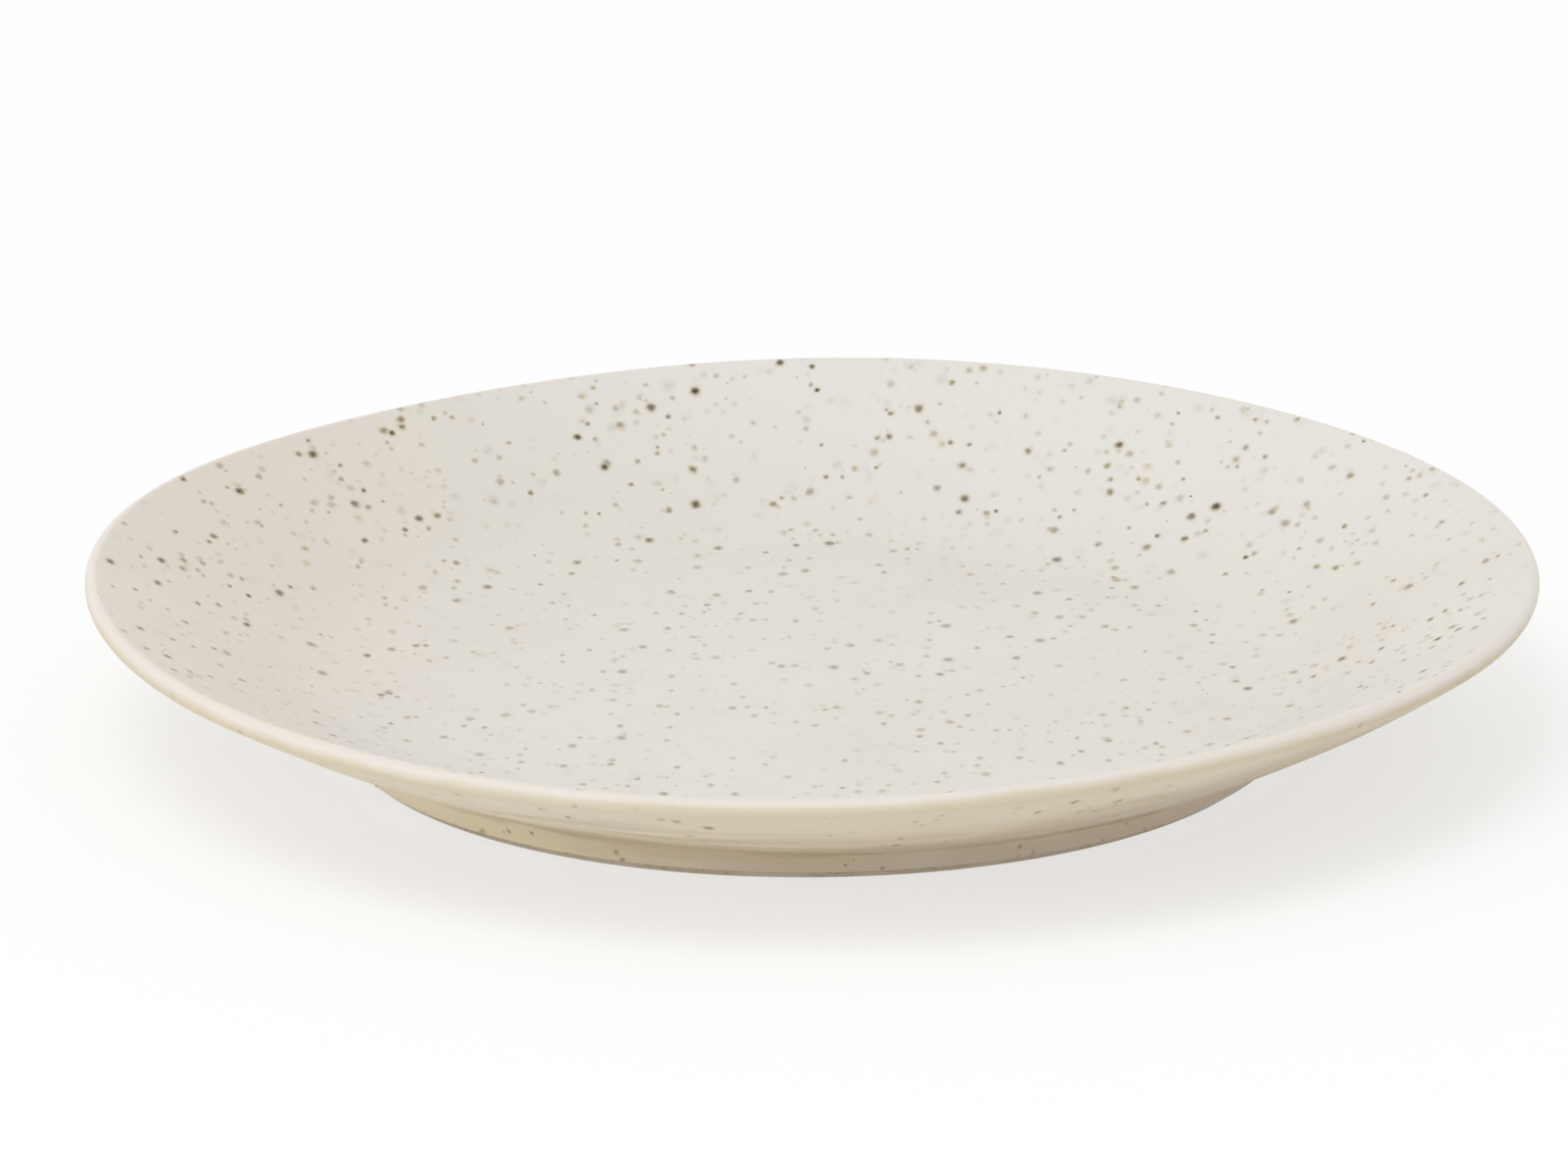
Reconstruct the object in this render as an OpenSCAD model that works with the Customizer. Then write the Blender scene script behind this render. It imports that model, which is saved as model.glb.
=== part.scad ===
// Bread plate: a shallow dished plate of glazed stoneware on a low foot ring.
// Millimetres, +Z up, origin in the middle of the plane that the foot rests on.
// Every piece is a ring-shaped solid turned about the Z axis.

/* [Rim] */
// Outside diameter over the lip
rim_d = 150; // [125:1:200]
// Height of the lip's crest above the table
rim_h = 19; // [15:0.5:28]
// Radius of the rounded lip, half of its thickness
lip_r = 1.25; // [0.9:0.05:2]

/* [Dish] */
// Height of the well's floor above the table
floor_h = 6.6; // [5:0.1:8]
// Slope of the dish's wall, in degrees above level
wall_slope = 27; // [22:1:35]
// Radius of the curve between the well and the wall
well_curve_r = 30; // [15:1:40]

/* [Outside] */
// Radius of the soft bulge of the outer wall
bulge_r = 178; // [80:1:260]
// Radius of the hollow where the outer wall meets the foot
hollow_r = 2.8; // [0.8:0.1:3.4]

/* [Foot] */
// Outside diameter of the foot ring
foot_d = 97.4; // [85:0.2:104]
// Height at which the foot meets the outer wall
foot_h = 3.4; // [3:0.1:5]
// Width of the foot ring
ring_w = 6; // [4:0.1:9]
// Rounding of the foot ring's bare edges
ring_edge_r = 0.6; // [0.3:0.05:0.8]
// Depth of the recess inside the foot ring
recess_depth = 2.2; // [1.8:0.1:3]
// Radius of the corner inside the recess
recess_corner_r = 0.9; // [0.5:0.1:1]

/* [Glaze] */
// Thickness of the glaze coats
glaze_t = 0.4; // [0.2:0.05:0.6]
// Height of bare clay that the glaze leaves at the foot
bare_h = 0.8; // [0.8:0.05:0.9]

/* [Hidden] */

// Smoothness of the turning
turn_fn = 180;
// Most that a rounded stretch strays from its true arc, and the widest angle between its points
arc_error = 0.02;
arc_step = 15;

clay_colour = [0.62, 0.54, 0.44];
face_colour = [0.88, 0.86, 0.82];
outer_colour = [0.81, 0.77, 0.69];
recess_colour = [0.77, 0.72, 0.63];

// Centre of the lip's rounding
lip_c = [rim_d / 2 - lip_r, rim_h - lip_r];

// The well's floor runs out to where the curve starts, so that the wall above it meets the lip smoothly
slope_n = [-sin(wall_slope), cos(wall_slope)];
curve_rise = well_curve_r * (1 - cos(wall_slope));
curve_run = well_curve_r * sin(wall_slope);
well_r = (lip_c * slope_n + lip_r - (floor_h + curve_rise) * slope_n.y) / slope_n.x - curve_run;
well_c = [well_r, floor_h + well_curve_r];

// The bulge touches the lip's rounding and passes through the corner where the foot starts
foot_r = foot_d / 2;
foot_corner = [foot_r, foot_h];
corner_to_lip = lip_c - foot_corner;
span = norm(corner_to_lip);
along = (span * span + bulge_r * bulge_r - pow(bulge_r - lip_r, 2)) / (2 * span);
across = sqrt(bulge_r * bulge_r - along * along);
span_dir = corner_to_lip / span;
bulge_c = foot_corner + along * span_dir + across * [-span_dir.y, span_dir.x];

// The hollow rounds the corner between the bulge and the foot's side, and ends above the bare clay
hollow = min(hollow_r, 1.15 * (foot_h - bare_h - 0.1));
hollow_x = foot_r + hollow;
hollow_drop = sqrt(pow(bulge_r + hollow, 2) - pow(hollow_x - bulge_c.x, 2));
hollow_c = [hollow_x, bulge_c.y - hollow_drop];

// Inside of the foot ring
ring_in_r = foot_r - ring_w;
recess_c = [ring_in_r - recess_corner_r, recess_depth - recess_corner_r];

// Direction from one point to another, in degrees
function heading(from, to) = atan2(to.y - from.y, to.x - from.x);

// Points along a rounded stretch, from one heading to another
function arc(c, r, a0, a1) =
    let (step = min(arc_step, 2 * acos(1 - arc_error / r)), steps = ceil(abs(a1 - a0) / step))
    [for (i = [0:steps]) let (a = a0 + (a1 - a0) * i / steps) c + r * [cos(a), sin(a)]];

function backwards(points) = [for (i = [len(points) - 1:-1:0]) points[i]];

// Face from the middle of the well to the lip's crest, at a depth under the glaze's surface
function face_path(depth) = concat(
    [[0, floor_h - depth]],
    arc(well_c, well_curve_r + depth, -90, wall_slope - 90),
    arc(lip_c, lip_r - depth, 90 + wall_slope, 90));

// Outside from the lip's crest to the lower edge of the glaze on the foot
function outer_path(depth) =
    let (lip_end = heading(bulge_c, lip_c), bulge_end = heading(bulge_c, hollow_c))
    concat(
        arc(lip_c, lip_r - depth, 90, 0),
        arc(lip_c, lip_r - depth, 0, lip_end),
        arc(bulge_c, bulge_r - depth, lip_end, bulge_end),
        arc(hollow_c, hollow + depth, bulge_end + 180, 180),
        [[foot_r - depth, bare_h]]);

// Recess from the lower edge of its glaze to the middle
function recess_path(depth) = concat(
    [[ring_in_r + depth, bare_h]],
    arc(recess_c, recess_corner_r + depth, 0, 90),
    [[0, recess_depth + depth]]);

// Bare resting ring from its outer side to its inner side
function ring_path() =
    let (out_x = foot_r - glaze_t - ring_edge_r, in_x = ring_in_r + glaze_t + ring_edge_r)
    concat(
        arc([out_x, ring_edge_r], ring_edge_r, 0, -90),
        arc([in_x, ring_edge_r], ring_edge_r, -90, -180));

// A list of points without those that repeat the point before them
function tidy(points) =
    [for (i = [0:len(points) - 1]) if (i == 0 || norm(points[i] - points[i - 1]) > 0.001) points[i]];

module turned(points) {
    rotate_extrude($fn = turn_fn) polygon(tidy(points));
}

// A coat between the glaze's surface and the clay under it
module coat(surface, clay) {
    turned(concat(surface, backwards(clay)));
}

// The plate's fired clay: floor, wall, lip and foot ring in one piece
module stoneware_body() {
    color(clay_colour)
        turned(concat(face_path(glaze_t), outer_path(glaze_t), ring_path(), recess_path(glaze_t)));
}

// Pale speckled glaze over the well, the wall and the inner half of the lip
module face_glaze() {
    color(face_colour) coat(face_path(0), face_path(glaze_t));
}

// Warmer glaze from the lip's crest down the outside of the foot
module outer_glaze() {
    color(outer_colour) coat(outer_path(0), outer_path(glaze_t));
}

// Glaze in the recess under the plate
module recess_glaze() {
    color(recess_colour) coat(recess_path(0), recess_path(glaze_t));
}

stoneware_body();
face_glaze();
outer_glaze();
recess_glaze();
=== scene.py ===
"""Dresses the bread plate: its uneven form, speckled glaze, bare clay foot, studio and camera."""
import logging
import math
from dataclasses import dataclass, field, fields
from enum import Enum

import bpy
import numpy as np
from mathutils import Matrix, Vector


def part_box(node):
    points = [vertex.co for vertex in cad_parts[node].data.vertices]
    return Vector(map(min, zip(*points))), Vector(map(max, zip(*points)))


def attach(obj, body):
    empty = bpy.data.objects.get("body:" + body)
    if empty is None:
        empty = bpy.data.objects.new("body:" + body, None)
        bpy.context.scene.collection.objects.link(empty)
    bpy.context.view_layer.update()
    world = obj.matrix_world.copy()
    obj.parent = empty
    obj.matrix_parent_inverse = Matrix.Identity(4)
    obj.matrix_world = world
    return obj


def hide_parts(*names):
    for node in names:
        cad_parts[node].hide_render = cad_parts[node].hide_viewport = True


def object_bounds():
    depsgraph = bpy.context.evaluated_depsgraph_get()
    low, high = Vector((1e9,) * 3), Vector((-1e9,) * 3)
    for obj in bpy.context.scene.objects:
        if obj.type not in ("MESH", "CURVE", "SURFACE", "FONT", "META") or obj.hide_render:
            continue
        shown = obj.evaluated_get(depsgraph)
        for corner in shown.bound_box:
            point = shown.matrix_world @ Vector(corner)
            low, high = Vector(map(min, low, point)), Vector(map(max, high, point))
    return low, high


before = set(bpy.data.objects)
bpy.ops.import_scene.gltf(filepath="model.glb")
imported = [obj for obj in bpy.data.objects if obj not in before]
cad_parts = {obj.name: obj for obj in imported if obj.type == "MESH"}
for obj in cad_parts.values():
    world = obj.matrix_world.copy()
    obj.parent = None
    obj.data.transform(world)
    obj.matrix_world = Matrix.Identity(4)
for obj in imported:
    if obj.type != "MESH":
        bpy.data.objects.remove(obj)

CAD_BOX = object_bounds()
LOG = logging.getLogger("bread_plate")

MM = 0.001
BODY = "root"

Colour = tuple[float, float, float, float]
Direction = tuple[float, float, float]
Socket = bpy.types.NodeSocket
Given = Socket | float | tuple[float, ...]
Inputs = dict[str | int, Given]
Many = np.ndarray | float

# A screen's curve: a straight toe, then a power
TOE_END = 0.04045
TOE_SLOPE = 12.92
CURVE_OFFSET = 0.055
CURVE_POWER = 2.4


def linear(red: int, green: int, blue: int) -> Colour:
    """Turns a colour as seen on a screen into the linear colour that a shader takes.

    Args:
        red: Red from 0 to 255.
        green: Green from 0 to 255.
        blue: Blue from 0 to 255.

    Returns:
        The linear colour with full alpha.
    """
    shares = np.array([red, green, blue]) / 255
    curved = ((shares + CURVE_OFFSET) / (1 + CURVE_OFFSET)) ** CURVE_POWER
    return *np.where(shares <= TOE_END, shares / TOE_SLOPE, curved).tolist(), 1.0


def section(radius: Many, height: Many) -> np.ndarray:
    """Points of the half section from their radii and heights."""
    return np.stack(np.broadcast_arrays(radius, height), axis=-1)


def unit(angle: np.ndarray) -> np.ndarray:
    """Directions of length 1 at angles in radians."""
    return section(np.cos(angle), np.sin(angle))


def arc(centre: np.ndarray, radius: Many, headings: np.ndarray) -> np.ndarray:
    """Points on a circle in the half section, at one or many azimuths.

    Args:
        centre: Centre as (radius, height), with any leading axes for azimuths.
        radius: Radius of the circle in millimetres.
        headings: Directions from the centre in degrees, with points along the last axis.

    Returns:
        Points with shape (..., count, 2).
    """
    return centre[..., None, :] + np.asarray(radius)[..., None, None] * unit(np.radians(headings))


def sweep(start: Many, end: Many, count: int, crowd: float = 1.0) -> np.ndarray:
    """Values from start to end, crowded towards the start by a power over 1.

    Args:
        start: First value, one or one for each azimuth.
        end: Last value, one or one for each azimuth.
        count: How many values.
        crowd: Power that crowds the values.

    Returns:
        Values along the last axis.
    """
    share = np.linspace(0.0, 1.0, count) ** crowd
    begin = np.asarray(start, float)[..., None]
    return begin + (np.asarray(end, float)[..., None] - begin) * share


def between(first: np.ndarray, last: np.ndarray, count: int) -> np.ndarray:
    """Even steps from one half-section point to another, without the two ends."""
    share = np.linspace(0, 1, count)[1:-1, None]
    return first + (last - first) * share


def heading(origin: np.ndarray, target: np.ndarray) -> np.ndarray:
    """Direction from one half-section point to another, in degrees."""
    step = target - origin
    return np.degrees(np.arctan2(step[..., 1], step[..., 0]))


@dataclass(frozen=True)
class Wave:
    """A slow wave that goes round the plate.

    Attributes:
        lobes: How many crests it has in one turn.
        height: Height of a crest, in the unit of what it changes.
        crest: Azimuth of a crest in degrees, counter-clockwise from +X.
    """

    lobes: int
    height: float
    crest: float

    def at(self, azimuth: np.ndarray) -> np.ndarray:
        """Height of the wave at each azimuth in radians."""
        return self.height * np.cos(self.lobes * (azimuth - math.radians(self.crest)))


@dataclass(frozen=True)
class SoftDents:
    """Shallow dents left by hands and tools, as a sum of seeded ripples in all directions.

    Attributes:
        seed: Seed of the random directions.
        depth: Usual depth in millimetres.
        longest: Longest ripple in millimetres.
        shortest: Shortest ripple in millimetres.
        count: How many ripples are summed.
    """

    seed: int
    depth: float
    longest: float
    shortest: float
    count: int = 24

    def at(self, points: np.ndarray) -> np.ndarray:
        """Depth of the dents at points in millimetres.

        Args:
            points: Array with shape (n, 3).

        Returns:
            Array with shape (n,).
        """
        draw = np.random.default_rng(self.seed)
        total = np.zeros(len(points))
        for _ in range(self.count):
            direction = draw.normal(size=3)
            direction /= np.linalg.norm(direction)
            length = draw.uniform(self.shortest, self.longest)
            total += np.sin(points @ direction * 2 * math.pi / length + draw.uniform(0, 2 * math.pi))
        return self.depth * total / math.sqrt(self.count / 2)


# How many points the stretches of the half section have
FLOOR_POINTS = 16
CURVE_POINTS = 22
WALL_POINTS = 22
INNER_LIP_POINTS = 12
OUTER_LIP_POINTS = 40
BULGE_POINTS = 40
HOLLOW_POINTS = 24
FOOT_SIDE_POINTS = 8
RING_POINTS = 9
CORNER_POINTS = 12

# Powers that crowd the lip's points towards its crest
INNER_LIP_CROWD = 1.7
OUTER_LIP_CROWD = 1.5

# Share of a round floor's radius that an even grid fills, and the azimuth of that grid's first corner
GRID_SHARE = 0.5
GRID_CORNER = -math.pi / 4

# Room in millimetres that the hollow above the foot leaves over the bare clay
HOLLOW_ROOM = 0.2

# Share of the rim's lift that eases in from the foot, where the rest grows evenly
EASED_LIFT = 0.35

# In millimetres, the rise over which dents set in, their distance from the rim, and their fade towards it
DENT_RISE = 3.0
DENT_CLEARANCE = 2.0
DENT_FADE = 6.0

# Azimuths at which the rim's highest point is looked for
RIM_SAMPLES = 721


@dataclass
class PlateForm:
    """The plate's sizes in millimetres and the half-section paths of its surfaces.

    Attributes:
        wall_slope: Slope of the dish's wall in degrees.
        well_curve_r: Radius between the well and the wall.
        bulge: Curvature of the outer wall's bulge, in 1 / mm.
        bulge_wave: How that curvature changes round the plate.
        hollow_share: Radius between the outer wall and the foot, as a share of the foot's free height.
        foot_h: Height at which the outer wall would meet the foot without that hollow.
        ring_edge_r: Rounding of the bare ring's edges.
        recess_corner_r: Radius of the corner in the recess.
        rim_waves: Unevenness of the rim's height.
        foot_waves: Unevenness of the line where the foot starts.
        foot_oval: Unevenness of the foot's radius.
        foot_taper: How much the foot narrows towards its base.
        lip_thinning: How much smaller the lip's rounding is than the solid's.
        dents: Shallow dents all over.
        segments: How many spokes of points go round the plate.
        rim_r: Outside radius over the lip, from here on read from the solids.
        rim_h: Height of the lip's highest crest.
        glaze_t: Thickness of the glaze coats.
        lip_r: Radius of the lip's rounding.
        floor_h: Height of the well's floor.
        ring_in_r: Inside radius of the foot ring.
        recess_h: Height of the recess under the plate.
        bare_h: Height of bare clay below the outer glaze.
        foot_r: Outside radius of the foot.
    """

    wall_slope: float = 27.0
    well_curve_r: float = 30.0
    bulge: float = 0.0056
    bulge_wave: Wave = Wave(1, 0.0027, -3)
    hollow_share: float = 1.5
    foot_h: float = 3.39
    ring_edge_r: float = 0.6
    recess_corner_r: float = 0.9
    rim_waves: tuple[Wave, ...] = (Wave(1, 0.35, 96), Wave(2, 0.32, -13), Wave(3, 0.49, -49),
                                   Wave(4, 0.12, -8), Wave(5, 0.13, 21))
    foot_waves: tuple[Wave, ...] = (Wave(1, 0.37, 91), Wave(2, 0.18, 10), Wave(3, 0.22, 15))
    foot_oval: Wave = Wave(2, 0.47, -1)
    foot_taper: float = 0.65
    lip_thinning: float = 0.17
    dents: SoftDents = SoftDents(11, 0.05, 46.0, 15.0)
    segments: int = 288
    rim_r: float = field(init=False)
    rim_h: float = field(init=False)
    glaze_t: float = field(init=False)
    lip_r: float = field(init=False)
    floor_h: float = field(init=False)
    ring_in_r: float = field(init=False)
    recess_h: float = field(init=False)
    bare_h: float = field(init=False)
    foot_r: float = field(init=False)

    def __post_init__(self) -> None:
        """Reads the sizes that the solids give, and lays out the spokes."""
        low, high = CAD_BOX
        face_low, face_high = (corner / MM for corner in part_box("face_glaze"))
        clay_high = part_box("stoneware_body")[1] / MM
        recess_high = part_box("recess_glaze")[1] / MM
        self.rim_r = (high.x - low.x) / 2 / MM
        self.rim_h = high.z / MM
        self.glaze_t = self.rim_r - clay_high.x
        self.lip_r = self.rim_r - face_high.x - self.lip_thinning
        self.floor_h = face_low.z + self.glaze_t
        self.ring_in_r = recess_high.x - self.glaze_t
        self.recess_h = recess_high.z - self.glaze_t
        self.bare_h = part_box("outer_glaze")[0].z / MM
        self.foot_r = self.bare_foot_r() + self.glaze_t
        self.lip_c = np.array([self.rim_r - self.lip_r, self.rim_h - self.lip_r])
        self.azimuth = np.arange(self.segments) * 2 * math.pi / self.segments + GRID_CORNER
        self.spokes = unit(self.azimuth)
        self.rim_drop = self.rim_lift(np.linspace(0, 2 * math.pi, RIM_SAMPLES)).max()

    def bare_foot_r(self) -> float:
        """Measures the clay solid below the glaze's edge.

        Returns:
            Its outside radius in millimetres.
        """
        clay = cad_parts["stoneware_body"].data
        points = np.array([vertex.co for vertex in clay.vertices]) / MM
        low = points[points[:, 2] < self.bare_h]
        return float(np.hypot(low[:, 0], low[:, 1]).max())

    def rim_lift(self, azimuth: np.ndarray) -> np.ndarray:
        """Sum of the rim's waves in millimetres."""
        return sum(wave.at(azimuth) for wave in self.rim_waves)

    def foot_radius(self) -> np.ndarray:
        """Outside radius of the foot at its top, in millimetres, at every azimuth."""
        return self.foot_r + self.foot_oval.at(self.azimuth)

    def well_r(self) -> float:
        """Works out how wide the well's floor is, so that the wall meets the lip smoothly.

        Returns:
            Radius in millimetres at which the floor starts to curve up.
        """
        slope = math.radians(self.wall_slope)
        normal = np.array([-math.sin(slope), math.cos(slope)])
        rise = self.floor_h + self.well_curve_r * (1 - math.cos(slope))
        run = self.well_curve_r * math.sin(slope)
        return float((self.lip_c @ normal + self.lip_r - rise * normal[1]) / normal[0] - run)

    def face_path(self, depth: float) -> np.ndarray:
        """Face from the well's floor to the lip's crest.

        Args:
            depth: Depth under the glaze's surface in millimetres.

        Returns:
            Points with shape (count, 2).
        """
        well = self.well_r()
        floor_r = np.linspace(well * GRID_SHARE, well, FLOOR_POINTS)[:-1]
        floor = section(floor_r, self.floor_h - depth)
        curve = arc(np.array([well, self.floor_h + self.well_curve_r]), self.well_curve_r + depth,
                    sweep(-90.0, self.wall_slope - 90, CURVE_POINTS))
        lip = arc(self.lip_c, self.lip_r - depth,
                  sweep(90.0, 90 + self.wall_slope, INNER_LIP_POINTS, INNER_LIP_CROWD))[::-1]
        return np.concatenate([floor, curve, between(curve[-1], lip[0], WALL_POINTS), lip])

    def outer_path(self, depth: float) -> np.ndarray:
        """Outside from the lip's crest to the glaze's edge on the foot, at every azimuth.

        Args:
            depth: Depth under the glaze's surface in millimetres.

        Returns:
            Points with shape (azimuths, count, 2).
        """
        foot_r = self.foot_radius()
        corner_h = self.foot_h + sum(wave.at(self.azimuth) for wave in self.foot_waves)
        corner = section(foot_r, corner_h)
        bulge_r = 1 / (self.bulge + self.bulge_wave.at(self.azimuth))
        hollow_r = self.hollow_share * (corner_h - self.bare_h - HOLLOW_ROOM)
        step = self.lip_c - corner
        span = np.linalg.norm(step, axis=-1)
        along = (span**2 + bulge_r**2 - (bulge_r - self.lip_r) ** 2) / (2 * span)
        across = np.sqrt(bulge_r**2 - along**2)
        ahead = step / span[:, None]
        aside = section(-ahead[:, 1], ahead[:, 0])
        bulge_c = corner + along[:, None] * ahead + across[:, None] * aside
        hollow_x = foot_r + hollow_r
        drop = np.sqrt((bulge_r + hollow_r) ** 2 - (hollow_x - bulge_c[:, 0]) ** 2)
        hollow_c = section(hollow_x, bulge_c[:, 1] - drop)
        lip_end, bulge_end = heading(bulge_c, self.lip_c), heading(bulge_c, hollow_c)
        lip = arc(self.lip_c, self.lip_r - depth, sweep(90.0, lip_end, OUTER_LIP_POINTS, OUTER_LIP_CROWD))
        bulge = arc(bulge_c, bulge_r - depth, sweep(lip_end, bulge_end, BULGE_POINTS)[:, 1:-1])
        hollow = arc(hollow_c, hollow_r + depth, sweep(bulge_end + 180, 180.0, HOLLOW_POINTS))
        side_h = sweep(hollow[:, -1, 1], self.bare_h, FOOT_SIDE_POINTS)[:, 1:]
        share = (hollow[:, -1:, 1] - side_h) / (hollow[:, -1:, 1] - self.bare_h)
        side = section(foot_r[:, None] - depth - self.foot_taper * share, side_h)
        return np.concatenate([lip, bulge, hollow, side], axis=1)

    def ring_path(self) -> np.ndarray:
        """Bare resting ring from its outer side to its inner side.

        Returns:
            Points with shape (azimuths, count, 2).
        """
        out_x = self.foot_radius() - self.foot_taper - self.glaze_t - self.ring_edge_r
        in_x = np.full_like(out_x, self.ring_in_r + self.glaze_t + self.ring_edge_r)
        outer, inner = (
            arc(section(x, self.ring_edge_r), self.ring_edge_r, sweep(start, start - 90, RING_POINTS))
            for x, start in ((out_x, 0.0), (in_x, -90.0)))
        return np.concatenate([outer, between(outer[:, -1:], inner[:, :1], RING_POINTS), inner], axis=1)

    def recess_path(self, depth: float) -> np.ndarray:
        """Recess from the lower edge of its glaze to near the middle.

        Args:
            depth: Depth under the glaze's surface in millimetres.

        Returns:
            Points with shape (count, 2).
        """
        corner = np.array([self.ring_in_r - self.recess_corner_r, self.recess_h - self.recess_corner_r])
        edge = np.array([[self.ring_in_r + depth, self.bare_h]])
        bend = arc(corner, self.recess_corner_r + depth, sweep(0.0, 90.0, CORNER_POINTS))
        floor_r = np.linspace(corner[0], corner[0] * GRID_SHARE, FLOOR_POINTS)[1:]
        return np.concatenate([edge, bend, section(floor_r, self.recess_h + depth)])

    def settle(self, points: np.ndarray) -> np.ndarray:
        """Gives points of the true turned form the plate's handmade unevenness.

        Args:
            points: Points in millimetres with shape (n, 3).

        Returns:
            The moved points.
        """
        radius = np.hypot(points[:, 0], points[:, 1])
        azimuth = np.arctan2(points[:, 1], points[:, 0])
        share = np.clip((radius - self.foot_r) / (self.rim_r - self.foot_r), 0, 1)
        share = share * share * (3 - 2 * share) * EASED_LIFT + share * (1 - EASED_LIFT)
        standing = np.clip((points[:, 2] - self.bare_h) / DENT_RISE, 0, 1)
        inside_rim = np.clip((self.rim_r - DENT_CLEARANCE - radius) / DENT_FADE, 0, 1)
        moved = points.copy()
        moved[:, 2] += share * (self.rim_lift(azimuth) - self.rim_drop)
        moved[:, 2] += self.dents.at(points) * standing * inside_rim
        return moved


class Layout(Enum):
    """Where a strip of faces lies on the piece's flat map: middle across, middle up, and radius."""

    SHOWN = (0.5, 0.5, 0.49)
    HIDDEN = (0.06, 0.06, 0.05)


@dataclass
class Stretch:
    """One smooth stretch of a piece's half section, ending in a crease.

    Attributes:
        path: Points with shape (count, 2), or (azimuths, count, 2) where they change round the plate.
        layout: Where its faces lie on the flat map.
    """

    path: np.ndarray
    layout: Layout = Layout.HIDDEN


# Name under which the meshes keep each point's distance from the lip's crest, in millimetres
FROM_CREST = "from_crest"


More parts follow.
